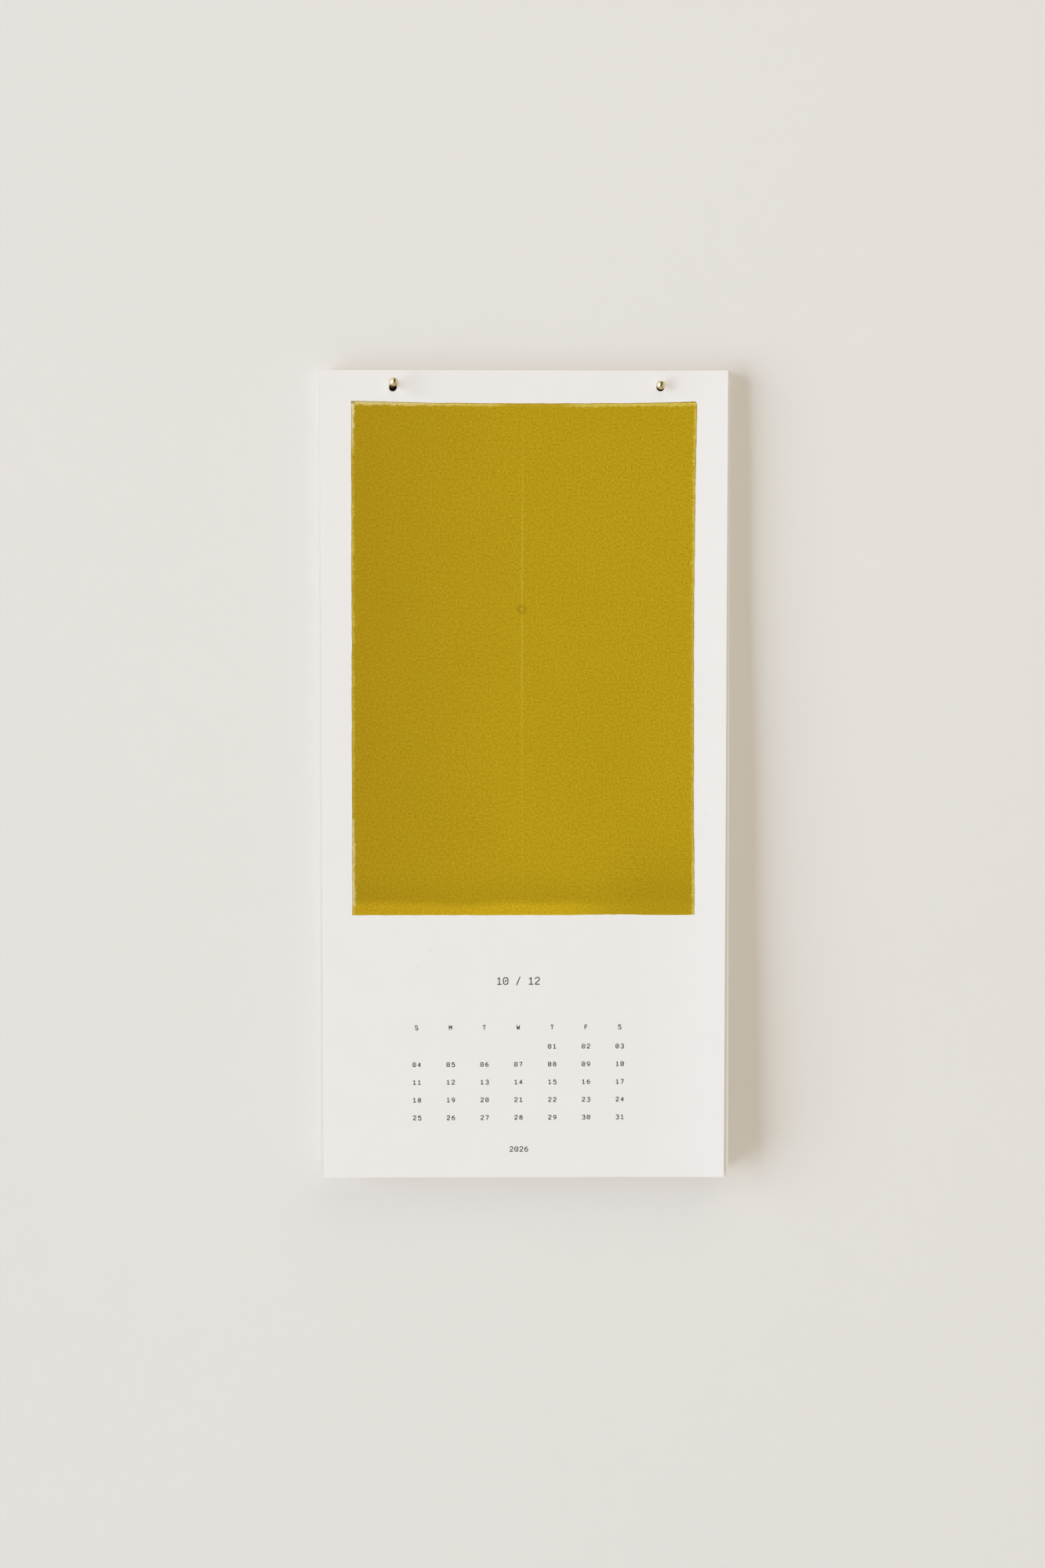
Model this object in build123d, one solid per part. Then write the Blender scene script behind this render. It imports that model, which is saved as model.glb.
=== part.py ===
from build123d import *
import math
import os

# A wall calendar of loose card leaves that hang on two domed brass nails.
# Millimetres. +Z is up, the front faces -Y and +X is to the right of someone facing the wall.
# The origin is on the wall, halfway between the axes of the two nails.

# Leaves, from the front one to the one that lies on the wall
MONTHS = (
    "october", "november", "december", "january", "february", "march",
    "april", "may", "june", "july", "august", "september",
)
LEAF_WIDTH = 152.4
LEAF_HEIGHT = 304.8
LEAF_THICKNESS = 0.3
AIR_GAP = 0.2

# Punched holes: one line of two, below the top edge and a little to the right of the middle
HOLE_DIAMETER = 3.0
HOLE_SPACING = 100.0
HOLE_BELOW_TOP = 6.35
HOLE_RIGHT_OF_MIDDLE = 0.4

# The leaves lie close at the top and fan out, so that each lower edge stands off the wall
FRONT_LIFT = 6.5
SECOND_LIFT = 6.2
LIFT_POWER = 1.3

# How far each leaf sits off the hole line, because the holes were punched by hand
SLIP = 0.55
SLIP_SHARES = (-1.0, 0.27, 0.2, -0.2, 0.1, 0.0, 0.25, -0.35, 0.15, 0.2, -0.1, 0.1)
ASKEW_DEGREES = 0.12
ASKEW_SHARES = (1.0, -0.5, -0.2, 0.1, -0.3, 0.1, -0.05, 0.2, -0.3, 0.0, 0.15, 0.0)

# Painted field on the front leaf
FIELD_SIDE_MARGIN = 11.9
FIELD_BELOW_TOP = 12.1
FIELD_HEIGHT = 192.4
FIELD_CORNER_RADIUS = 0.8
PAINT_THICKNESS = 0.1

# Nails: both alike, the left one driven less deep
NAIL_LENGTH = 25.4
NAIL_DIAMETER = 1.6
POINT_LENGTH = 3.2
HEAD_DIAMETER = 3.2
HEAD_RIM = 0.35
HEAD_DOME = 1.25
LEFT_HEAD_CLEAR = 6.5
RIGHT_HEAD_CLEAR = 2.4
SEAT_CLEARANCE = 0.05

# One overrun serves every cut
OVERRUN = 5.0

# Sizes that follow
leaf_pitch = LEAF_THICKNESS + AIR_GAP
stack_depth = leaf_pitch * (len(MONTHS) - 1) + LEAF_THICKNESS
hang_drop = HOLE_DIAMETER / 2 - NAIL_DIAMETER / 2 - SEAT_CLEARANCE
field_width = LEAF_WIDTH - 2 * FIELD_SIDE_MARGIN

# Flat pieces are drawn upright, in front of and below the middle of their rear top edge
UPRIGHT = (Align.CENTER, Align.MAX, Align.MAX)


def lift_of(place):
    """How far the lower edge of a leaf stands off, by its place behind the front leaf."""
    if place == 0:
        return FRONT_LIFT
    places_behind_second = len(MONTHS) - 2
    nearness = 1 - (place - 1) / places_behind_second
    return SECOND_LIFT * nearness**LIFT_POWER


def hang(solid, place):
    """Hang a leaf, or the paint on it, from its holes.

    The solid is drawn flat and upright, with the middle of the leaf's rear top edge at the origin.
    """
    slip = SLIP * SLIP_SHARES[place]
    askew = ASKEW_DEGREES * ASKEW_SHARES[place]
    lean = math.degrees(math.asin(lift_of(place) / LEAF_HEIGHT))
    behind = leaf_pitch * (len(MONTHS) - 1 - place)
    from_holes = Pos(-HOLE_RIGHT_OF_MIDDLE, -behind, HOLE_BELOW_TOP) * Rot(-lean, 0, 0)
    return Pos(slip, 0, -hang_drop) * Rot(0, askew, 0) * from_holes * solid


def nail_holes():
    """Two cutters through the whole stack, lower than the nails by the slack in the holes."""
    cutter = Rot(90, 0, 0) * Cylinder(HOLE_DIAMETER / 2, stack_depth + 2 * OVERRUN)
    middle = Pos(0, -stack_depth / 2, -hang_drop)
    return [middle * Pos(side * HOLE_SPACING / 2, 0, 0) * cutter for side in (-1, 1)]


def leaf(place):
    """One card leaf, punched where it hangs."""
    card = Box(LEAF_WIDTH, LEAF_THICKNESS, LEAF_HEIGHT, align=UPRIGHT)
    return hang(card, place) - nail_holes()


def painted_field():
    """The coat of paint on the front leaf, with soft corners."""
    coat = Box(field_width, PAINT_THICKNESS, FIELD_HEIGHT, align=UPRIGHT)
    rounded = fillet(coat.edges().filter_by(Axis.Y), FIELD_CORNER_RADIUS)
    return hang(Pos(0, -LEAF_THICKNESS, -FIELD_BELOW_TOP) * rounded, 0)


def nail(head_clear, side):
    """A domed nail. Its shank has an edge at the wall, so the driven length is a face of its own."""
    shank = NAIL_DIAMETER / 2
    head = HEAD_DIAMETER / 2
    underside = -(stack_depth + head_clear)
    tip = underside + NAIL_LENGTH
    rim = underside - HEAD_RIM
    crown = rim - HEAD_DOME
    dome_radius = (head**2 + HEAD_DOME**2) / (2 * HEAD_DOME)
    dome_angle = math.atan(HEAD_DOME / head)
    dome_middle = (
        dome_radius * math.sin(dome_angle),
        crown + dome_radius * (1 - math.cos(dome_angle)),
    )
    outline = [
        Line((0, tip), (shank, tip - POINT_LENGTH)),
        Line((shank, tip - POINT_LENGTH), (shank, 0)),
        Line((shank, 0), (shank, underside)),
        Line((shank, underside), (head, underside)),
        Line((head, underside), (head, rim)),
        ThreePointArc((head, rim), dome_middle, (0, crown)),
        Line((0, crown), (0, tip)),
    ]
    turned = revolve(make_face(outline), Axis.Y, clean=False)
    return Pos(side * HOLE_SPACING / 2, 0, 0) * turned


parts = {f"leaf_{month}": leaf(place) for place, month in enumerate(MONTHS)}
parts["painted_field"] = painted_field()
parts["nail_left"] = nail(LEFT_HEAD_CLEAR, -1)
parts["nail_right"] = nail(RIGHT_HEAD_CLEAR, 1)

os.makedirs("parts", exist_ok=True)
for name, solid in parts.items():
    export_step(solid, f"parts/{name}.step")
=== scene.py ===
import math
from functools import partial

import bmesh
import bpy
from bpy.props import FloatProperty, FloatVectorProperty, PointerProperty
from mathutils import Matrix, Vector, noise


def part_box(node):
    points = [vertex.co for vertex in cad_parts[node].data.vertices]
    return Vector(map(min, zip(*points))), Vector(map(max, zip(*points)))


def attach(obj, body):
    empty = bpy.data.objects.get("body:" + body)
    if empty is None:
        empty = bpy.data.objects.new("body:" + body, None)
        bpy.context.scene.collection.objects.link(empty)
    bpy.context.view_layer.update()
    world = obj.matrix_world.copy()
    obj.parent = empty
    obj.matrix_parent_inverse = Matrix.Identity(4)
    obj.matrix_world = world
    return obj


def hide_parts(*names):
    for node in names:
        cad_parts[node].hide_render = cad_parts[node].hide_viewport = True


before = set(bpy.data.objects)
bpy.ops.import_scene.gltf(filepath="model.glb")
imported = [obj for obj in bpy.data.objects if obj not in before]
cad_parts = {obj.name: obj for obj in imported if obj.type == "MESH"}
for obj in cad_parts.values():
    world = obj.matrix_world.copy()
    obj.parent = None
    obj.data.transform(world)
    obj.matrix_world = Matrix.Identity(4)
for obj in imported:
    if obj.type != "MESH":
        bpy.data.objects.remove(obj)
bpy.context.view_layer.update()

bl_info = {
    "name": "Wall calendar",
    "version": (1, 0, 0),
    "blender": (4, 5, 0),
    "location": "View3D > Sidebar > Calendar",
    "description": "Dresses a wall calendar of loose card leaves that hang on two brass nails",
    "category": "Object",
}

MM = 0.001
BODY = "root"
FRONT, SECOND = "leaf_october", "leaf_november"
HIDDEN_LEAVES = sorted(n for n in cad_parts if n.startswith("leaf_") and n not in (FRONT, SECOND))


def linear(hex_colour):
    """An sRGB hex colour as linear red, green and blue."""
    shares = [int(hex_colour[i:i + 2], 16) / 255 for i in (1, 3, 5)]
    return tuple(s / 12.92 if s <= 0.04045 else ((s + 0.055) / 1.055) ** 2.4 for s in shares)


def length(name, description, millimetres):
    """A length that a user can change, kept in metres."""
    return FloatProperty(name=name, description=description, default=millimetres * MM, unit="LENGTH", precision=5)


def colour(name, description, hex_colour):
    """A colour that a user can change, kept linear."""
    return FloatVectorProperty(
        name=name, description=description, default=linear(hex_colour), subtype="COLOR", min=0, max=1
    )


class CalendarSizes(bpy.types.PropertyGroup):
    """Sizes of the front leaf, its paint, its figures and the nails."""

    leaf_width: length("Leaf width", "Width of a card leaf", 152.4)
    leaf_height: length("Leaf height", "Height of a card leaf", 304.8)
    leaf_thickness: length("Leaf thickness", "Thickness of the card", 0.3)
    cut_edge: length("Cut edge", "How far the cut edges of the card are rounded", 0.07)
    wave: length("Wave", "How far the two front leaves wave out of their plane", 0.36)
    wave_length: length("Wave length", "Length of the wave, down the leaf", 126.0)
    curl: length("Curl", "How far the right edges of the two front leaves curl forward", 1.0)
    curl_width: length("Curl width", "Width of the curling strip along the right edge", 34.0)
    hole_diameter: length("Hole", "Diameter of the punched holes", 3.0)
    hole_spacing: length("Hole spacing", "Distance between the two holes", 100.0)
    field_width: length("Field width", "Width of the painted field", 128.6)
    field_height: length("Field height", "Height of the painted field", 192.4)
    field_below_top: length("Field below top", "From the leaf's top edge to the painted field", 12.1)
    paint_thickness: length("Paint thickness", "Thickness of the coat of paint", 0.05)
    paint_wobble: length("Paint wobble", "How far the painted edge strays from a straight line", 0.4)
    paint_bow: length("Paint bow", "How far the top and right edges of the paint bow in between their corners", 0.8)
    paint_spread: length("Paint spread", "How far the left side of the paint spreads at its lower end", 0.75)
    figure_height: length("Figure height", "Height of the date figures, between the middles of their strokes", 1.5)
    figure_pitch: length("Figure pitch", "Distance from one figure to the next", 1.88)
    column_pitch: length("Column pitch", "Distance between the columns of dates", 12.85)
    row_pitch: length("Row pitch", "Distance between the rows of dates", 6.79)
    nail_lean: length("Nail lean", "How far the left nail's head leans to the right and up", 0.85)
    nail_diameter: length("Nail", "Diameter of the nail's shank", 1.6)
    head_diameter: length("Nail head", "Diameter of the nail's head", 3.2)
    head_dome: length("Nail dome", "Height of the dome on the nail's head", 1.25)


class CalendarColours(bpy.types.PropertyGroup):
    """Colours of the calendar and of the stage."""

    card: colour("Card", "Uncoated card", "#ECE8E5")
    olive: colour("Olive", "Body colour of the painted field", "#B79614")
    olive_pale: colour("Olive, pale grains", "Grains of the painted field that took little paint", "#C8A922")
    olive_deep: colour("Olive, deep grains", "Grains of the painted field that took most paint", "#A58404")
    ink: colour("Ink", "Printing ink of the figures", "#292725")
    brass: colour("Brass", "Polished brass of the nails", "#F0E0B6")
    wall: colour("Wall", "Painted wall behind the calendar", "#E5E0DB")
    floor: colour("Floor", "Floor below the calendar", "#E2DDD8")


# Strokes of the figures and initials, in shares of a figure's width and height.
# A line runs straight from point to point, a bow bends smoothly, and a ring closes on itself.
STROKES = {
    "0": (("ring", (0, 0), (1, 0), (1, 0.5), (1, 1), (0, 1), (0, 0.5)), ("line", (0.4, 0.36), (0.6, 0.64))),
    "1": (("line", (0.14, 0.8), (0.52, 1), (0.52, 0)), ("line", (0.1, 0), (0.94, 0))),
    "2": (("bow", (0.04, 0.74), (0.08, 1.03), (0.95, 1.06), (0.97, 0.62), (0.6, 0.42), (0.1, 0.16), (0.04, 0)),
          ("line", (0.04, 0), (0.97, 0))),
    "3": (("bow", (0.05, 0.86), (0.2, 1.04), (0.95, 1.06), (0.95, 0.54), (0.4, 0.54)),
          ("bow", (0.4, 0.54), (1.03, 0.55), (1.03, -0.07), (0.15, -0.05), (0.02, 0.17))),
    "4": (("line", (0.72, 0), (0.72, 1), (0.02, 0.3), (1, 0.3)),),
    "5": (("line", (0.88, 1), (0.16, 1), (0.1, 0.52)),
          ("bow", (0.1, 0.52), (0.35, 0.68), (1.02, 0.7), (1.02, 0.3), (1, -0.07), (0.15, -0.05), (0.02, 0.16))),
    "6": (("bow", (0.84, 0.98), (0.35, 0.96), (0.02, 0.66), (0.02, 0.3)),
          ("ring", (0.02, 0), (0.98, 0), (0.98, 0.6), (0.02, 0.6))),
    "7": (("line", (0.02, 1), (0.98, 1), (0.36, 0)),),
    "8": (("ring", (0.08, 0.54), (0.92, 0.54), (0.92, 1), (0.08, 1)), ("ring", (0, 0), (1, 0), (1, 0.54), (0, 0.54))),
    "9": (("bow", (0.16, 0.02), (0.65, 0.04), (0.98, 0.34), (0.98, 0.7)),
          ("ring", (0.02, 0.4), (0.98, 0.4), (0.98, 1), (0.02, 1))),
    "/": (("line", (0.12, -0.1), (0.88, 1.1)),),
    "F": (("line", (0.12, 0), (0.12, 1), (0.96, 1)), ("line", (0.12, 0.52), (0.8, 0.52))),
    "M": (("line", (0.04, 0), (0.04, 1), (0.5, 0.42), (0.96, 1), (0.96, 0)),),
    "S": (("bow", (0.95, 0.83), (0.8, 1.05), (0.04, 1.08), (0.04, 0.6), (0.5, 0.52), (0.98, 0.42), (0.98, -0.08),
           (0.15, -0.05), (0.03, 0.17)),),
    "T": (("line", (0.02, 1), (0.98, 1)), ("line", (0.5, 1), (0.5, 0))),
    "W": (("line", (0, 1), (0.2, 0), (0.5, 0.62), (0.8, 0), (1, 1)),),
}
FIGURE_WIDTH_SHARE = 0.68

# Where the print stands on the front leaf: right of the middle, and above the lower edge
MIDDLE_COLUMN = -2.0 * MM
HEADING_MIDDLE = -1.9 * MM
HEADING_BASELINE = 74.05 * MM
WEEKDAY_BASELINE = 56.85 * MM
FIRST_ROW_BASELINE = 49.5 * MM
YEAR_BASELINE = 10.05 * MM
PRINT_TILT = math.radians(0.18)
FIRST_COLUMN = 4
DAYS = 31

# How the two front leaves hang, as in the solids: slip, turn, lift of the lower edge, and depth of what is behind
HANGING = {
    FRONT: (-0.55 * MM, math.radians(0.12), 6.5 * MM, 5.5 * MM),
    SECOND: (0.1485 * MM, math.radians(-0.06), 6.2 * MM, 5.0 * MM),
}
HANG_DROP = 0.65 * MM
HOLE_RIGHT_OF_MIDDLE = 0.4 * MM
HOLE_BELOW_TOP = 6.35 * MM
STACK_DEPTH = 5.8 * MM


def leaf_place(sizes, node):
    """Where a leaf hangs. Flat, it has the middle of its rear top edge at the origin and faces -Y."""
    slip, askew, lift, behind = HANGING[node]
    lean = math.asin(lift / sizes.leaf_height)
    return (
        Matrix.Translation((slip, 0, -HANG_DROP))
        @ Matrix.Rotation(askew, 4, "Y")
        @ Matrix.Translation((-HOLE_RIGHT_OF_MIDDLE, -behind, HOLE_BELOW_TOP))
        @ Matrix.Rotation(-lean, 4, "X")
    )


ACROSS, UP = Vector((1, 0, 0)), Vector((0, 0, 1))


def wave_lines(sizes):
    """Heights at which the two front leaves and the paint may bend."""
    step = 6 * MM
    return [-step * i for i in range(1, int(sizes.leaf_height / step) + 1)]


def curl_lines(sizes):
    """Places across the two front leaves and the paint at which the right edge may curl."""
    return [sizes.leaf_width / 2 - sizes.curl_width * share / 10 for share in range(1, 11)]


def hang_on_leaf(bm, sizes, node=FRONT):
    """Give a flat leaf, or flat work on it, the leaf's soft wave and curl, then its place."""
    for vert in bm.verts:
        down = -vert.co.z
        fade = max(0.0, 1 - down / sizes.leaf_height)
        into_curl = max(0.0, 1 - (sizes.leaf_width / 2 - vert.co.x) / sizes.curl_width)
        vert.co.y -= sizes.wave * fade * math.sin(2 * math.pi * down / sizes.wave_length)
        vert.co.y -= sizes.curl * into_curl ** 2
    bmesh.ops.transform(bm, matrix=leaf_place(sizes, node), verts=bm.verts)


def cut_sheet(bm, axis, places):
    """Cut a flat sheet straight through at these places along an axis."""
    for place in places:
        geom = bm.verts[:] + bm.edges[:] + bm.faces[:]
        bmesh.ops.bisect_plane(bm, geom=geom, dist=1e-7, plane_co=axis * place, plane_no=axis)


def mark_leaf_uv(bm, sizes):
    """Keep each point's place on the flat leaf: across it from 0 to 1, and up it from 0 to 1."""
    layer = bm.loops.layers.uv.new("leaf")
    for face in bm.faces:
        for loop in face.loops:
            x, z = loop.vert.co.x, loop.vert.co.z
            loop[layer].uv = (x / sizes.leaf_width + 0.5, z / sizes.leaf_height + 1)


def finish_piece(bm, name, material, replaced=None, smooth=0.3):
    """Turn a bmesh into a piece that rides with the calendar."""
    mesh = bpy.data.meshes.new(name)
    bm.to_mesh(mesh)
    bm.free()
    mesh.set_sharp_from_angle(angle=smooth)
    mesh.materials.append(material)
    piece = bpy.data.objects.new(name, mesh)
    bpy.context.scene.collection.objects.link(piece)
    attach(piece, BODY)
    if replaced:
        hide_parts(replaced)
    return piece


def keep_near(piece, node, limit):
    """Stop the script if a piece strays from the solid that it stands for."""
    low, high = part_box(node)
    corners = [Vector(c) for c in piece.bound_box]
    for axis in range(3):
        values = [c[axis] for c in corners]
        if abs(min(values) - low[axis]) > limit or abs(max(values) - high[axis]) > limit:
            raise RuntimeError(f"{piece.name} strays from {node}")


# The kinds of shader node in use: Blender's name, the output that is read, and the settings.
# A colour Mix takes its share at socket 0 and its two colours at sockets 6 and 7.
PLACE = ("TexCoord", "Object", {})
DIRECTION = ("TexCoord", "Generated", {})
LEAF_UV = ("UVMap", 0, {"uv_map": "leaf"})
MAPPING = ("Mapping", 0, {})
AXES = ("SeparateXYZ", 0, {})
FACING = ("NewGeometry", "Normal", {})
FROM_BEHIND = ("NewGeometry", "Backfacing", {})
RAYS = ("LightPath", 0, {})
NOISE = ("TexNoise", 0, {})
STEP = ("MapRange", 0, {"interpolation_type": "SMOOTHSTEP"})
TIMES = ("Math", 0, {"operation": "MULTIPLY"})
PLUS = ("Math", 0, {"operation": "ADD"})
MINUS = ("Math", 0, {"operation": "SUBTRACT"})
UNSIGNED = ("Math", 0, {"operation": "ABSOLUTE"})
LARGER = ("Math", 0, {"operation": "MAXIMUM"})
DISTANCE = ("VectorMath", "Value", {"operation": "DISTANCE"})
BLEND = ("Mix", 2, {"data_type": "RGBA"})
TINT = ("Mix", 2, {"data_type": "RGBA", "blend_type": "MULTIPLY"})
SWITCH = ("Mix", 0, {})
BUMP = ("Bump", 0, {})
CLEAR = ("BsdfTransparent", 0, {})
EITHER = ("MixShader", 0, {})


def add_node(tree, kind, inputs=()):
    """Add one shader node with its settings, set or link its inputs, and give its output."""
    name, output, settings = kind
    made = tree.nodes.new("ShaderNode" + name)
    for setting, value in settings.items():
        setattr(made, setting, value)
    sockets = inputs if isinstance(inputs, dict) else dict(enumerate(inputs))
    for socket, value in sockets.items():
        if isinstance(value, bpy.types.NodeSocket):
            tree.links.new(value, made.inputs[socket])
        else:
            made.inputs[socket].default_value = value
    return made.outputs[output]


def new_material(name):
    """An empty node material, its tree and shader, and what adds a node to it."""
    material = bpy.data.materials.new(name)
    material.use_nodes = True
    tree = material.node_tree
    return material, tree, tree.nodes["Principled BSDF"], partial(add_node, tree)


def per_size(millimetres):
    """The scale of a texture whose features are this large."""
    return 1 / (millimetres * MM)


def shade(colour_value, factor):
    """A colour made darker or lighter, with alpha."""
    return tuple(min(1.0, c * factor) for c in colour_value) + (1.0,)


def card_material(colours):
    """Uncoated wood-free card, felt-marked, guillotined and punched.

    It gives the eye an even, chalky warm white with faint clouds, a fine tooth and a rare grey fleck.
    """
    material, tree, shader, add = new_material("uncoated_card_felt_marked")
    place = add(PLACE)
    clouds = add(NOISE, {"Vector": place, "Scale": per_size(14), "Detail": 3.0})
    # Felt marks are about 0.3 mm apart, drawn at 0.7 mm so that they show
    felt = add(NOISE, {"Vector": place, "Scale": per_size(0.7), "Detail": 4.0, "Roughness": 0.65})
    flecks = add(NOISE, {"Vector": place, "Scale": per_size(1.6), "Detail": 1.0})
    tone = add(BLEND, {0: clouds, 6: shade(colours.card, 0.985), 7: shade(colours.card, 1.012)})
    tone = add(BLEND, {0: add(STEP, (felt, 0.35, 0.7, 0.0, 0.04)), 6: tone, 7: shade(colours.card, 0.88)})
    tone = add(BLEND, {0: add(STEP, (flecks, 0.8, 0.83, 0.0, 0.2)), 6: tone, 7: linear("#8E867C") + (1.0,)})
    # Cut edges show open fibres, which hold more shade than the calendered face
    facing = add(UNSIGNED, [add(AXES, [add(FACING)]).node.outputs[1]])
    tone = add(BLEND, {0: add(STEP, (facing, 0.8, 0.3, 0.0, 0.75)), 6: tone, 7: shade(colours.card, 0.68)})
    bump = add(BUMP, {"Strength": 0.35, "Distance": 0.03 * MM, "Height": felt})
    tree.links.new(tone, shader.inputs["Base Color"])
    tree.links.new(add(STEP, (felt, 0.3, 0.7, 0.86, 0.96)), shader.inputs["Roughness"])
    tree.links.new(bump, shader.inputs["Normal"])
    shader.inputs["Specular IOR Level"].default_value = 0.15
    return material


def paint_material(colours, sizes):
    """Olive block-printing paint, rolled on and pressed into card.

    It gives the eye a velvety, finely speckled mustard olive, with a darker rim where the paint was squeezed out,
    a thin starved line inside that rim, a faint seam down the middle and a fuller, yellower band along the lower edge.
    """
    material, tree, shader, add = new_material("olive_block_paint_pressed")
    uv = add(LEAF_UV)
    # Millimetres from the field's left edge and lower edge
    left = (sizes.leaf_width - sizes.field_width) / 2 / MM
    low = (sizes.leaf_height - sizes.field_below_top - sizes.field_height) / MM
    inputs = {"Vector": uv, "Location": (-left, -low, 0), "Scale": (sizes.leaf_width / MM, sizes.leaf_height / MM, 1)}
    place = add(MAPPING, inputs)
    axes = add(AXES, [place]).node.outputs
    wide, high = sizes.field_width / MM, sizes.field_height / MM
    from_right = add(MINUS, (wide, axes[0]))
    from_top = add(MINUS, (high, axes[1]))

    # Dry pressed pigment breaks up into grains about 0.5 mm apart
    grain = add(NOISE, {"Vector": place, "Scale": 1 / 0.75, "Detail": 3.0, "Roughness": 0.8})
    clouds = add(NOISE, {"Vector": place, "Scale": 1 / 42, "Detail": 3.0})
    breaks = add(NOISE, {"Vector": place, "Scale": 1 / 26, "Detail": 2.0})
    ragged = add(NOISE, {"Vector": place, "Scale": 1 / 2.2, "Detail": 2.0})

    took_less = add(STEP, (grain, 0.24, 0.76))
    tone = add(BLEND, {0: took_less, 6: shade(colours.olive_deep, 1.0), 7: shade(colours.olive_pale, 1.0)})
    tone = add(BLEND, {0: add(STEP, (clouds, 0.3, 0.7, 0.0, 0.05)), 6: tone, 7: shade(colours.olive, 0.5)})
    tone = add(BLEND, {0: add(STEP, (axes[0], 70, -10, 0.0, 0.19)), 6: tone, 7: linear("#784810") + (1.0,)})

    # The lower edge took more paint, under a slightly darker roller mark, and less towards its right end
    wander = add(STEP, (breaks, 0.3, 0.7, -0.8, 0.8))
    band = add(PLUS, (axes[1], wander))
    dark_above = add(TIMES, (add(STEP, (band, 3.0, 6.5)), add(STEP, (band, 18, 7, 0.0, 0.1))))
    tone = add(BLEND, {0: dark_above, 6: tone, 7: shade(colours.olive, 0.35)})
    full = add(TIMES, (add(STEP, (band, 6.0, 2.4)), add(STEP, (axes[0], 104, 72))))
    tone = add(TINT, {0: full, 6: tone, 7: (1.2, 1.19, 1.25, 1.0)})
    bare_end = add(TIMES, (add(STEP, (axes[1], 36, 12)), add(STEP, (axes[0], 84, 116, 0.0, 0.12))))
    tone = add(BLEND, {0: bare_end, 6: tone, 7: shade(colours.olive, 0.35)})

    # Where the coat is thin, the card shows through
    pale, yellow = linear("#E4D8A6") + (1.0,), linear("#D8C25A") + (1.0,)
    # A seam in the block left a faint pale line down the middle, clearest beside a small dent
    seam, dent = wide / 2 - 0.35, high - 77
    aside = add(UNSIGNED, [add(MINUS, (axes[0], seam))])
    reach = add(DISTANCE, (place, (seam, dent, 0)))
    seam_line = add(TIMES, (add(STEP, (aside, 0.5, 0.1)), add(STEP, (reach, 76, 0, 0.1, 0.42))))
    seam_line = add(TIMES, (seam_line, add(STEP, (from_top, 6, 14))))
    seam_line = add(TIMES, (seam_line, add(STEP, (grain, 0.3, 0.6, 0.3, 1.0))))
    tone = add(BLEND, {0: seam_line, 6: tone, 7: linear("#D4BC40") + (1.0,)})
    tone = add(BLEND, {0: add(STEP, (reach, 2.6, 0.9, 0.0, 0.32)), 6: tone, 7: shade(colours.olive_deep, 0.5)})
    tone = add(BLEND, {0: add(STEP, (reach, 0.7, 0.2, 0.0, 0.4)), 6: tone, 7: yellow})
    flecks = add(NOISE, {"Vector": place, "Scale": 1 / 1.5, "Detail": 1.0})
    tone = add(BLEND, {0: add(STEP, (flecks, 0.81, 0.85, 0.0, 0.5)), 6: tone, 7: yellow})

    # Starved lines inside the edges: along the top, down the left side, and near the ends of the right side
    speckle = add(STEP, (grain, 0.32, 0.6, 0.4, 1.0))
    stray = add(STEP, (ragged, 0.3, 0.7, -0.35, 0.35))
    under_top = add(PLUS, (from_top, stray))
    top_line = add(TIMES, (add(STEP, (from_top, 0.1, 0.4)), add(STEP, (under_top, 1.9, 0.8))))
    covered = add(TIMES, (add(STEP, (axes[0], 50, 62)), add(STEP, (axes[0], 88, 74))))
    top_line = add(TIMES, (top_line, add(STEP, (covered, 0.0, 1.0, 0.95, 0.1))))
    top_head = add(TIMES, (top_line, add(STEP, (axes[0], 52, 14, 0.0, 0.5))))
    beside_left = add(PLUS, (axes[0], stray))
    left_line = add(TIMES, (add(STEP, (axes[0], 0.05, 0.25)), add(STEP, (beside_left, 1.3, 0.5))))
    left_head = add(TIMES, (left_line, add(STEP, (from_top, 20, 8, 0.0, 0.9))))
    left_rest = add(TIMES, (left_line, add(STEP, (breaks, 0.62, 0.42, 0.3, 0.65))))
    left_foot = add(TIMES, (add(STEP, (axes[1], 3.0, 4.5)), add(STEP, (axes[1], 37, 35.5, 0.0, 0.6))))
    left_foot = add(TIMES, (left_foot, add(STEP, (beside_left, 1.5, 0.7))))
    beside_right = add(PLUS, (from_right, stray))
    right_line = add(TIMES, (add(STEP, (from_right, 0.05, 0.25)), add(STEP, (beside_right, 1.3, 0.5))))
    right_ends = add(TIMES, (add(STEP, (from_top, 84, 50, 0.4, 0.75)), add(STEP, (from_top, 1, 4))))
    right_foot = add(STEP, (axes[1], 30, 18, 0.0, 0.45))
    right_ends = add(PLUS, (right_ends, right_foot))
    right_line = add(TIMES, (right_line, right_ends))
    low_line = add(STEP, (axes[1], 0.4, 0.1, 0.0, 0.4))
    lines = (
        (top_line, yellow), (top_head, pale), (left_rest, yellow), (left_head, pale), (left_foot, pale),
        (right_line, yellow), (low_line, yellow),
    )
    for line, bare in lines:
        tone = add(BLEND, {0: add(TIMES, (line, speckle)), 6: tone, 7: bare})
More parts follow.
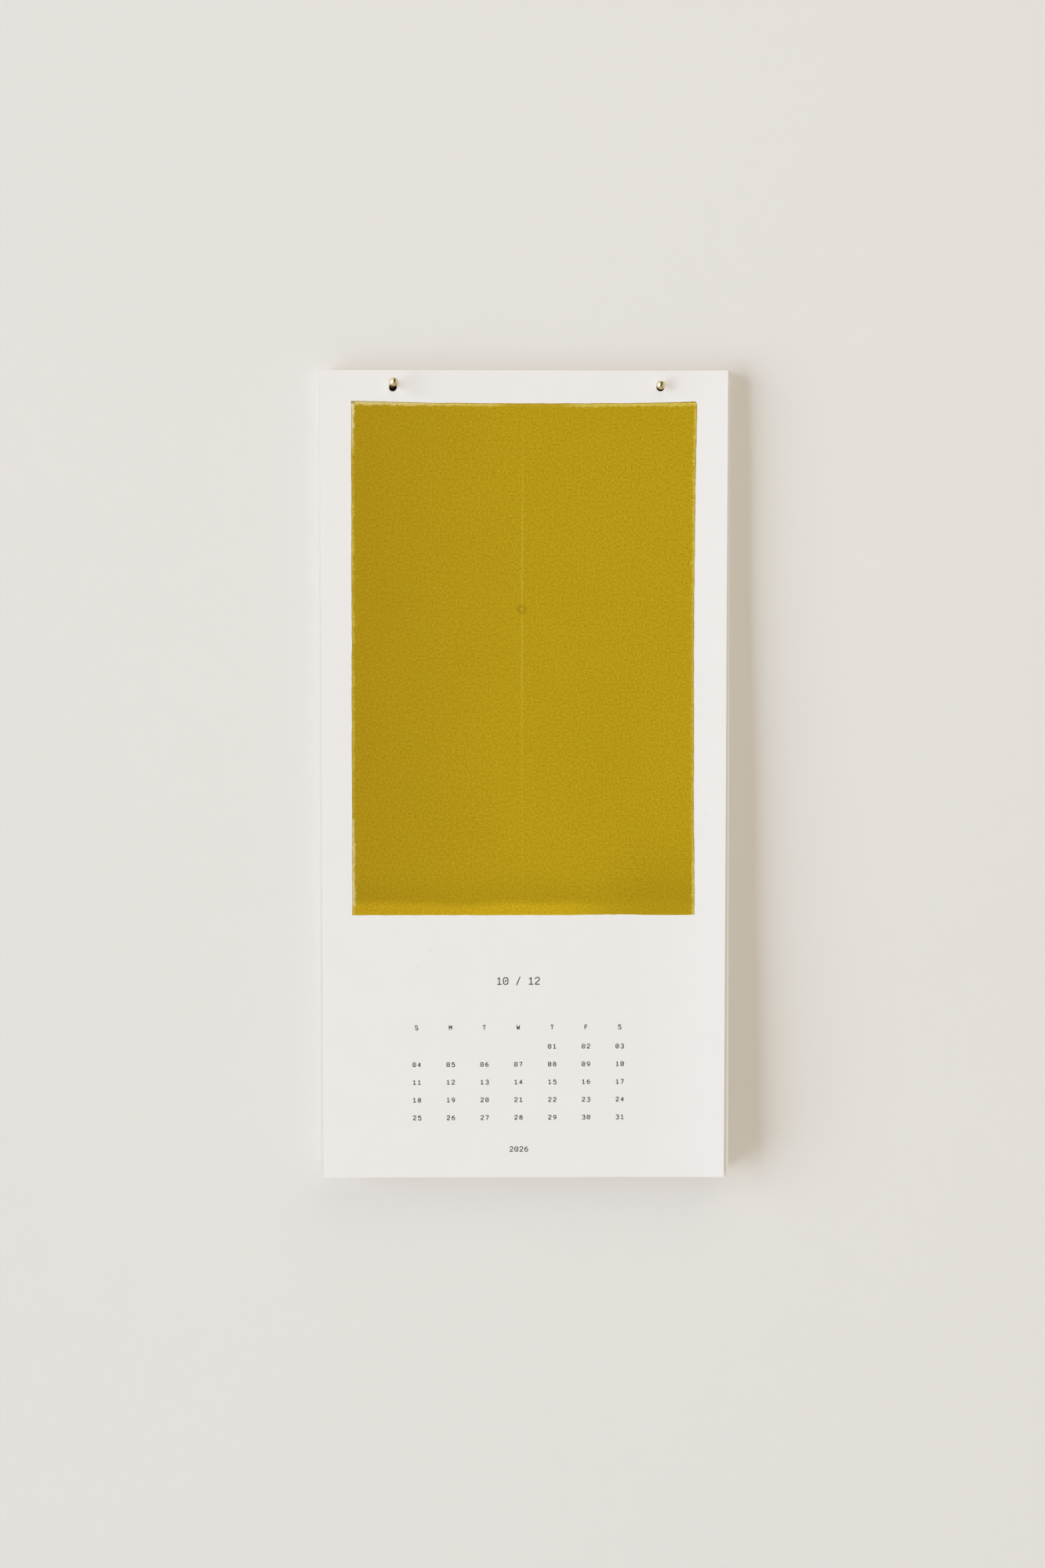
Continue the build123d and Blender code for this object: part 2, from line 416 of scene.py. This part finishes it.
    # A darker rim, broken here and there, where the paint was squeezed out
    for edge, strength in ((from_top, 0.4), (from_right, 0.55), (axes[0], 0.4)):
        rim = add(TIMES, (add(STEP, (edge, 0.36, 0.14)), add(STEP, (ragged, 0.35, 0.6, 0.1, 1.0))))
        tone = add(BLEND, {0: add(TIMES, (rim, strength)), 6: tone, 7: linear("#76691A") + (1.0,)})
    corner = add(TIMES, (add(STEP, (axes[0], 2.2, 0.8)), add(STEP, (from_top, 1.5, 0.6, 0.0, 0.7))))
    tone = add(BLEND, {0: corner, 6: tone, 7: linear("#7E741A") + (1.0,)})

    bump = add(BUMP, {"Strength": 0.5, "Distance": 0.06 * MM, "Height": grain})
    tree.links.new(tone, shader.inputs["Base Color"])
    tree.links.new(add(STEP, (grain, 0.3, 0.7, 0.92, 0.78)), shader.inputs["Roughness"])
    tree.links.new(bump, shader.inputs["Normal"])
    shader.inputs["Specular IOR Level"].default_value = 0.04
    return material


def ink_material(colours):
    """Black letterpress ink on uncoated card.

    It gives the eye soft charcoal figures, paler where the card's tooth kept the ink out.
    """
    material, tree, shader, add = new_material("letterpress_ink_on_card")
    place = add(PLACE)
    tooth = add(NOISE, {"Vector": place, "Scale": per_size(0.35), "Detail": 2.0})
    missed = add(STEP, (tooth, 0.5, 0.75, 0.0, 0.25))
    tone = add(BLEND, {0: missed, 6: shade(colours.ink, 1.0), 7: linear("#5A554F") + (1.0,)})
    tree.links.new(tone, shader.inputs["Base Color"])
    tree.links.new(add(STEP, (tooth, 0.3, 0.7, 0.6, 0.85)), shader.inputs["Roughness"])
    shader.inputs["Specular IOR Level"].default_value = 0.15
    return material


def brass_material(colours):
    """Brass, headed cold and polished, with a breath of tarnish.

    It gives the eye bright gold with a fine grain from polishing, browner in patches where fingers dulled it.
    """
    material, tree, shader, add = new_material("polished_brass_lightly_tarnished")
    place = add(PLACE)
    tarnish = add(NOISE, {"Vector": place, "Scale": per_size(1.3), "Detail": 3.0})
    fine = add(NOISE, {"Vector": place, "Scale": per_size(0.18), "Detail": 2.0})
    dulled = add(STEP, (tarnish, 0.45, 0.75, 0.0, 0.4))
    tone = add(BLEND, {0: dulled, 6: shade(colours.brass, 1.0), 7: linear("#9A7440") + (1.0,)})
    bump = add(BUMP, {"Strength": 0.15, "Distance": 0.02 * MM, "Height": fine})
    tree.links.new(tone, shader.inputs["Base Color"])
    tree.links.new(add(STEP, (tarnish, 0.35, 0.7, 0.08, 0.22)), shader.inputs["Roughness"])
    tree.links.new(bump, shader.inputs["Normal"])
    shader.inputs["Metallic"].default_value = 1.0
    return material


def plaster_material(name, emulsion, one_sided, nails=()):
    """Matt emulsion on smooth plaster: pale, with only a trace of roller stipple.

    A one-sided backdrop can be looked through from behind. Round each given nail it takes a dark disc of painted shade,
    so that the holes in the leaves look dark.
    """
    material, tree, shader, add = new_material(name)
    place = add(PLACE)
    stipple = add(NOISE, {"Vector": place, "Scale": per_size(2.5), "Detail": 3.0})
    clouds = add(NOISE, {"Vector": place, "Scale": per_size(160), "Detail": 2.0})
    tone = add(BLEND, {0: clouds, 6: shade(emulsion, 0.99), 7: shade(emulsion, 1.01)})
    for nail in nails:
        # Painted shade: a dark disc on the wall round each nail, so that the holes in the leaves look dark
        away = add(DISTANCE, (place, nail))
        tone = add(BLEND, {0: add(STEP, (away, 2.6 * MM, 2.2 * MM)), 6: tone, 7: linear("#2C2017") + (1.0,)})
    bump = add(BUMP, {"Strength": 0.1, "Distance": 0.05 * MM, "Height": stipple})
    tree.links.new(tone, shader.inputs["Base Color"])
    tree.links.new(bump, shader.inputs["Normal"])
    shader.inputs["Roughness"].default_value = 0.9
    shader.inputs["Specular IOR Level"].default_value = 0.1
    if one_sided:
        shown = add(EITHER, (add(FROM_BEHIND), shader.outputs[0], add(CLEAR)))
        tree.links.new(shown, tree.nodes["Material Output"].inputs["Surface"])
    return material


def material_named(name, make, *arguments):
    """A material made once and shared."""
    return bpy.data.materials.get(name) or make(*arguments)


def card_of(context):
    """The card that every leaf is cut from."""
    return material_named("uncoated_card_felt_marked", card_material, context.scene.calendar_colours)


def punched_leaf(sizes, node):
    """A sheet of card with two nail holes and softened cut edges, hung in its place."""
    flat = leaf_place(sizes, node).inverted()
    behind = HANGING[node][3]
    holes = [flat @ Vector((side * sizes.hole_spacing / 2, -behind, -HANG_DROP)) for side in (-1, 1)]
    margin = 2 * sizes.hole_diameter
    half_width = sizes.leaf_width / 2

    bm = bmesh.new()
    upright = Matrix.Translation((0, 0, -sizes.leaf_height / 2)) @ Matrix.Rotation(math.pi / 2, 4, "X")
    sheet = upright @ Matrix.Diagonal((half_width, sizes.leaf_height / 2, 1, 1))
    bmesh.ops.create_grid(bm, x_segments=1, y_segments=1, size=1, matrix=sheet)
    # Cut lines down the leaf close in a square cell round each hole, and let the right edge curl
    downs = [hole.x + side * margin / 2 for hole in holes for side in (-1, 1)]
    cut_sheet(bm, ACROSS, downs + [x for x in curl_lines(sizes) if not downs[2] < x < downs[3]])
    row = (holes[0].z + holes[1].z) / 2
    cut_sheet(bm, UP, [row + margin / 2, row - margin / 2])
    cut_sheet(bm, UP, [height for height in wave_lines(sizes) if height < row - margin / 2])

    for hole in holes:
        hole.y = 0
        cells = [f for f in bm.faces if (f.calc_center_median() - Vector((hole.x, 0, row))).length < margin / 4]
        rim = [e for f in cells for e in f.edges]
        bmesh.ops.delete(bm, geom=cells, context="FACES_ONLY")
        cut = bmesh.ops.subdivide_edges(bm, edges=rim, cuts=7)
        square = [e for e in cut["geom"] if isinstance(e, bmesh.types.BMEdge)]
        at = Matrix.Translation(hole) @ Matrix.Rotation(math.pi / 2, 4, "X")
        ring = bmesh.ops.create_circle(bm, segments=32, radius=sizes.hole_diameter / 2, matrix=at)
        circle = {e for v in ring["verts"] for e in v.link_edges}
        bmesh.ops.bridge_loops(bm, edges=list(set(square) | circle))

    thick = bmesh.ops.extrude_face_region(bm, geom=bm.faces[:])
    front = [v for v in thick["geom"] if isinstance(v, bmesh.types.BMVert)]
    bmesh.ops.translate(bm, verts=front, vec=(0, -sizes.leaf_thickness, 0))
    bmesh.ops.recalc_face_normals(bm, faces=bm.faces)
    rims = [e for e in bm.edges if e.is_manifold and e.calc_face_angle() > 1.2]
    bmesh.ops.bevel(bm, geom=rims, offset=sizes.cut_edge, affect="EDGES", segments=2, profile=0.5, material=-1)
    mark_leaf_uv(bm, sizes)
    hang_on_leaf(bm, sizes, node)
    return bm


class CALENDAR_OT_front_leaves(bpy.types.Operator):
    """Cut, punch and hang the front leaf and the leaf whose edge shows behind it."""

    bl_idname = "calendar.front_leaves"
    bl_label = "Front leaves"

    def execute(self, context):
        sizes = context.scene.calendar_sizes
        for name, node in (("front_leaf", FRONT), ("second_leaf", SECOND)):
            leaf = finish_piece(punched_leaf(sizes, node), name, card_of(context), node)
            keep_near(leaf, node, 1.2 * MM)
        return {"FINISHED"}


class CALENDAR_OT_leaves_behind(bpy.types.Operator):
    """Give the leaves behind the two front ones their card."""

    bl_idname = "calendar.leaves_behind"
    bl_label = "Leaves behind"

    def execute(self, context):
        card = card_of(context)
        for name in HIDDEN_LEAVES:
            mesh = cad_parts[name].data
            mesh.materials.clear()
            mesh.materials.append(card)
        return {"FINISHED"}


class CALENDAR_OT_paint(bpy.types.Operator):
    """Lay the coat of olive paint on the front leaf, with its soft, wandering edge."""

    bl_idname = "calendar.paint"
    bl_label = "Painted field"

    def execute(self, context):
        sizes = context.scene.calendar_sizes
        half = (sizes.field_width / 2, sizes.field_height / 2)
        middle = -sizes.field_below_top - half[1]
        bm = bmesh.new()
        upright = Matrix.Translation((0, -sizes.leaf_thickness, middle)) @ Matrix.Rotation(math.pi / 2, 4, "X")
        field = upright @ Matrix.Diagonal((half[0], half[1], 1, 1))
        bmesh.ops.create_grid(bm, x_segments=1, y_segments=1, size=1, matrix=field)
        bmesh.ops.subdivide_edges(bm, edges=bm.edges[:], cuts=199)
        # Marked before the edge strays, so that the rim of the paint follows its edge
        mark_leaf_uv(bm, sizes)
        for vert in bm.verts:
            x, z = vert.co.x, vert.co.z - middle
            on_side = half[0] - abs(x) < 0.01 * MM
            on_end = half[1] - abs(z) < 0.01 * MM
            drift = noise.noise((x * 27, z * 27, 3.1)) * 0.9 + noise.noise((x * 260, z * 260, 7.7)) * 0.35
            if on_side and on_end and x > 0 and z > 0:
                # Only the top right corner was left round
                drift = 1.0
            if on_side:
                vert.co.x -= math.copysign(drift * sizes.paint_wobble, x)
            if on_end:
                vert.co.z -= math.copysign(drift * sizes.paint_wobble, z)
            # The block was pressed askew: the left side spreads downwards, and the top and right edges bow in
            across, up = x / half[0], z / half[1]
            vert.co.x -= max(0.0, -across) ** 6 * sizes.paint_spread * (0.75 - 0.25 * up)
            vert.co.x += max(0.0, across) ** 6 * sizes.paint_bow * (up ** 2 - 0.45)
            vert.co.z += max(0.0, up) ** 6 * sizes.paint_bow * (across ** 2 - 0.2)
        thick = bmesh.ops.extrude_face_region(bm, geom=bm.faces[:])
        front = [v for v in thick["geom"] if isinstance(v, bmesh.types.BMVert)]
        bmesh.ops.translate(bm, verts=front, vec=(0, -sizes.paint_thickness, 0))
        bmesh.ops.recalc_face_normals(bm, faces=bm.faces)
        rims = [e for e in bm.edges if all(v in front for v in e.verts) and e.calc_face_angle() > 1.2]
        bmesh.ops.bevel(
            bm, geom=rims, offset=0.6 * sizes.paint_thickness, affect="EDGES", segments=2, profile=0.5, material=-1
        )
        cut_sheet(bm, UP, wave_lines(sizes))
        cut_sheet(bm, ACROSS, curl_lines(sizes))
        hang_on_leaf(bm, sizes)
        paint = material_named("olive_block_paint_pressed", paint_material, context.scene.calendar_colours, sizes)
        coat = finish_piece(bm, "olive_paint_coat", paint, "painted_field")
        keep_near(coat, "painted_field", 1.5 * MM)
        return {"FINISHED"}


def write_figures(line, words, middle, baseline, height, pitch):
    """Add the strokes of a word to a curve, centred on a point of the flat leaf."""
    width = height * FIGURE_WIDTH_SHARE
    start = middle - pitch * (len(words) - 1) / 2 - width / 2
    for place, character in enumerate(words):
        corner = Vector((start + place * pitch, baseline))
        for kind, *shares in STROKES.get(character, ()):
            points = [corner + Vector((across * width, up * height)) for across, up in shares]
            # A straight run is written piece by piece, each a little long, so that it keeps its width at corners
            runs = [points]
            if kind == "line":
                runs = []
                for first, last in zip(points, points[1:]):
                    over = (last - first).normalized() * line.bevel_depth / 2
                    runs.append([first - over, last + over])
            for run in runs:
                stroke = line.splines.new("POLY" if kind == "line" else "NURBS")
                stroke.points.add(len(run) - 1)
                for point, at in zip(stroke.points, run):
                    point.co = (at.x, at.y, 0, 1)
                stroke.use_cyclic_u = kind == "ring"
                if kind != "line":
                    stroke.order_u = 3
                    stroke.use_endpoint_u = kind == "bow"
                    stroke.resolution_u = 4


class CALENDAR_OT_print(bpy.types.Operator):
    """Print the heading, weekday initials, dates and year on the front leaf."""

    bl_idname = "calendar.print"
    bl_label = "Printed figures"

    def execute(self, context):
        sizes = context.scene.calendar_sizes
        ink = material_named("letterpress_ink_on_card", ink_material, context.scene.calendar_colours)
        columns = [MIDDLE_COLUMN + (i - 3) * sizes.column_pitch for i in range(7)]
        figure, pitch = sizes.figure_height, sizes.figure_pitch
        dates = []
        for day in range(1, DAYS + 1):
            row, column = divmod(FIRST_COLUMN + day - 1, 7)
            dates.append((f"{day:02d}", columns[column], FIRST_ROW_BASELINE - row * sizes.row_pitch, figure, pitch))
        weekdays = [(word, x, WEEKDAY_BASELINE, figure, pitch) for word, x in zip("SMTWTFS", columns)]
        groups = {
            "printed_heading": ([("10 / 12", HEADING_MIDDLE, HEADING_BASELINE, 2.5 * MM, 2.4 * MM)], 0.38 * MM),
            "printed_weekdays": (weekdays, 0.32 * MM),
            "printed_dates": (dates, 0.31 * MM),
            "printed_year": ([("2026", HEADING_MIDDLE, YEAR_BASELINE, 1.72 * MM, pitch)], 0.32 * MM),
        }
        for name, (words, stroke) in groups.items():
            line = bpy.data.curves.new(name, "CURVE")
            line.dimensions = "3D"
            line.bevel_depth = stroke / 2
            line.bevel_resolution = 1
            line.use_fill_caps = True
            for word in words:
                write_figures(line, *word)
            drawn = bpy.data.objects.new(name, line)
            mesh = bpy.data.meshes.new_from_object(drawn)
            bpy.data.objects.remove(drawn)
            bpy.data.curves.remove(line)
            bm = bmesh.new()
            bm.from_mesh(mesh)
            bpy.data.meshes.remove(mesh)
            # Press the round strokes flat, then stand the print up on the leaf's face
            film = 0.05 * MM
            flat = Matrix.Diagonal((1, 1, film / stroke, 1))
            upright = Matrix.Translation((0, -sizes.leaf_thickness - 0.4 * film, -sizes.leaf_height))
            turned = Matrix.Rotation(math.pi / 2, 4, "X") @ Matrix.Rotation(PRINT_TILT, 4, "Z")
            bmesh.ops.transform(bm, matrix=upright @ turned @ flat, verts=bm.verts)
            mark_leaf_uv(bm, sizes)
            hang_on_leaf(bm, sizes)
            finish_piece(bm, name, ink, smooth=1.2)
        return {"FINISHED"}


class CALENDAR_OT_nails(bpy.types.Operator):
    """Turn the two domed brass nails."""

    bl_idname = "calendar.nails"
    bl_label = "Nails"

    def execute(self, context):
        sizes = context.scene.calendar_sizes
        brass = material_named("polished_brass_lightly_tarnished", brass_material, context.scene.calendar_colours)
        shank, head, dome = sizes.nail_diameter / 2, sizes.head_diameter / 2, sizes.head_dome
        rim, point = 0.35 * MM, 3.2 * MM
        radius = (head ** 2 + dome ** 2) / (2 * dome)
        sweep = 2 * math.atan(dome / head)
        for node in ("nail_left", "nail_right"):
            low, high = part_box(node)
            crown, tip = low.y, high.y
            underside = crown + dome + rim
            bm = bmesh.new()
            start = bmesh.ops.create_vert(bm, co=(0, crown, 0))["vert"]
            arc = bmesh.ops.spin(
                bm, geom=start, cent=(0, crown + radius, 0), axis=(0, 0, 1), dvec=(0, 0, 0), angle=sweep, steps=9,
            )
            last = arc["geom_last"][0]
            corners = [(head, underside), (shank, underside), (shank, -STACK_DEPTH), (shank, tip - point), (0, tip)]
            for across, along in corners:
                last = bmesh.ops.extrude_vert_indiv(bm, verts=[last])["verts"][0]
                last.co = (across, along, 0)
            geom = bm.verts[:] + bm.edges[:]
            bmesh.ops.spin(
                bm, geom=geom, cent=(0, 0, 0), axis=(0, 1, 0), dvec=(0, 0, 0), angle=2 * math.pi, steps=48,
                use_merge=True,
            )
            bmesh.ops.remove_doubles(bm, verts=bm.verts, dist=1e-7)
            bmesh.ops.recalc_face_normals(bm, faces=bm.faces)
            sharp = [e for e in bm.edges if e.is_manifold and e.calc_face_angle() > 0.7]
            level = [e for e in sharp if abs(e.verts[0].co.y - e.verts[1].co.y) < 1e-7]
            rims = [e for e in level if e.verts[0].co.y < underside + MM]
            bmesh.ops.bevel(bm, geom=rims, offset=0.12 * MM, affect="EDGES", segments=3, profile=0.5, material=-1)
            # Struck from one side, the left nail leans to the right and up where it stands proud of the leaf
            if node == "nail_left":
                proud = -crown - STACK_DEPTH
                for vert in bm.verts:
                    bent = sizes.nail_lean * max(0.0, -vert.co.y - STACK_DEPTH) / proud
                    vert.co.x += bent
                    vert.co.z += bent
            bmesh.ops.translate(bm, verts=bm.verts, vec=((low.x + high.x) / 2, 0, (low.z + high.z) / 2))
            piece = finish_piece(bm, "brass_" + node, brass, node, smooth=0.6)
            keep_near(piece, node, MM)
        return {"FINISHED"}


def add_light(name, place, target, size, power, tint, mirrored=False):
    """A soft rectangular lamp, aimed at a point, that polished metal may mirror."""
    data = bpy.data.lights.new(name, "AREA")
    data.shape = "RECTANGLE"
    data.size, data.size_y = size
    data.energy = power
    data.color = tint
    lamp = bpy.data.objects.new(name, data)
    lamp.location = place
    lamp.rotation_euler = (Vector(target) - Vector(place)).to_track_quat("-Z", "Y").to_euler()
    lamp.visible_camera = False
    lamp.visible_glossy = mirrored
    bpy.context.scene.collection.objects.link(lamp)


def add_backdrop(name, matrix, material):
    """A plain sheet of the stage, which casts no shadow of its own."""
    bm = bmesh.new()
    bmesh.ops.create_grid(bm, x_segments=1, y_segments=1, size=1, matrix=matrix)
    mesh = bpy.data.meshes.new(name)
    bm.to_mesh(mesh)
    bm.free()
    mesh.materials.append(material)
    sheet = bpy.data.objects.new(name, mesh)
    sheet.visible_shadow = False
    bpy.context.scene.collection.objects.link(sheet)


class CALENDAR_OT_stage(bpy.types.Operator):
    """Set the pale wall and floor, the soft light and the camera."""

    bl_idname = "calendar.stage"
    bl_label = "Stage"

    def execute(self, context):
        scene = context.scene
        colours = scene.calendar_colours
        spacing = scene.calendar_sizes.hole_spacing
        # Nail places, round which the wall takes a dark disc of painted shade
        nails = [(side * spacing / 2, 0.3 * MM, -HANG_DROP) for side in (-1, 1)]
        wall = plaster_material("matt_emulsion_with_painted_hole_shade", colours.wall, True, nails)
        floor = plaster_material("matt_pale_floor", colours.floor, False)
        floor_level = -2.0
        wall_top = 1.3
        wall_middle = (wall_top + floor_level) / 2
        upright = Matrix.Translation((0, 0.3 * MM, wall_middle)) @ Matrix.Rotation(math.pi / 2, 4, "X")
        add_backdrop("wall", upright @ Matrix.Diagonal((2.2, (wall_top - floor_level) / 2, 1, 1)), wall)
        add_backdrop("floor", Matrix.Translation((0, 0, floor_level)) @ Matrix.Diagonal((2.2, 2.2, 1, 1)), floor)

        target = (0, 0, -0.146)
        far = 10.0
        side = math.radians(63)
        add_light("window_left", (-far * math.sin(side), -far * math.cos(side), -1.05), target, (6.1, 11.5), 1008.0,
                  (0.84, 0.98, 1.2), mirrored=True)
        add_light("room_front", (0.08, -2.4, -0.15), target, (0.6, 0.5), 19.4, (1.08, 1.0, 0.82))
        add_light("ceiling", (0.5, -1.3, 2.0), target, (3.0, 1.6), 13.5, (1.06, 1.0, 0.88))
        add_light("room_back", (0.4, 2.6, 0.5), target, (2.0, 2.0), 42.0, (0.97, 1.0, 1.05))

        world = bpy.data.worlds.new("soft_room_light")
        world.use_nodes = True
        tree = world.node_tree
        add = partial(add_node, tree)
        rays = add(RAYS).node.outputs
        seen = add(LARGER, (rays["Is Camera Ray"], rays["Is Transmission Ray"]))
        level = add(STEP, (seen, 0.0, 1.0, 0.2, 0.8))
        # Polished metal sees a bright side towards the window, a dim room in front and a paler side to the right
        towards = add(AXES, [add(DIRECTION)])
        left_side, right_side = add(STEP, (towards, -0.02, -0.3, 0.06, 1.0)), add(STEP, (towards, 0.35, 0.75, 0.0, 0.6))
        mirrored = add(PLUS, (left_side, right_side))
        level = add(SWITCH, {0: rays["Is Glossy Ray"], 2: level, 3: mirrored})
        background = tree.nodes["Background"]
        background.inputs["Color"].default_value = linear("#FBF6EE") + (1.0,)
        tree.links.new(level, background.inputs["Strength"])
        scene.world = world

        data = bpy.data.cameras.new("camera")
        data.lens = 50.0
        data.sensor_width = 36.0
        data.clip_start, data.clip_end = 0.01, 20.0
        camera = bpy.data.objects.new("camera", data)
        pitch, yaw, roll = (math.radians(a) for a in (-4.338, -0.761, 0.085))
        turn = Matrix.Rotation(yaw, 4, "Z") @ Matrix.Rotation(math.pi / 2 + pitch, 4, "X")
        turn = turn @ Matrix.Rotation(-roll, 4, "Z")
        camera.matrix_world = Matrix.Translation((-12.72 * MM, -828.17 * MM, -86.84 * MM)) @ turn
        scene.collection.objects.link(camera)
        scene.camera = camera
        scene.view_settings.view_transform = "Standard"
        return {"FINISHED"}


OPERATORS = (
    CALENDAR_OT_front_leaves,
    CALENDAR_OT_leaves_behind,
    CALENDAR_OT_paint,
    CALENDAR_OT_print,
    CALENDAR_OT_nails,
    CALENDAR_OT_stage,
)


class CALENDAR_PT_sidebar(bpy.types.Panel):
    """Lists the calendar's sizes, colours and pieces."""

    bl_idname = "CALENDAR_PT_sidebar"
    bl_label = "Wall calendar"
    bl_space_type = "VIEW_3D"
    bl_region_type = "UI"
    bl_category = "Calendar"

    def draw(self, context):
        layout = self.layout
        for group in (context.scene.calendar_sizes, context.scene.calendar_colours):
            box = layout.box()
            for name in group.__annotations__:
                box.prop(group, name)
        for operator in OPERATORS:
            layout.operator(operator.bl_idname)


CLASSES = (CalendarSizes, CalendarColours, *OPERATORS, CALENDAR_PT_sidebar)


def register():
    for cls in CLASSES:
        bpy.utils.register_class(cls)
    bpy.types.Scene.calendar_sizes = PointerProperty(type=CalendarSizes)
    bpy.types.Scene.calendar_colours = PointerProperty(type=CalendarColours)


def unregister():
    del bpy.types.Scene.calendar_colours
    del bpy.types.Scene.calendar_sizes
    for cls in reversed(CLASSES):
        bpy.utils.unregister_class(cls)


def main():
    register()
    bpy.ops.calendar.front_leaves()
    bpy.ops.calendar.leaves_behind()
    bpy.ops.calendar.paint()
    bpy.ops.calendar.print()
    bpy.ops.calendar.nails()
    bpy.ops.calendar.stage()


if __name__ == "__main__":
    main()
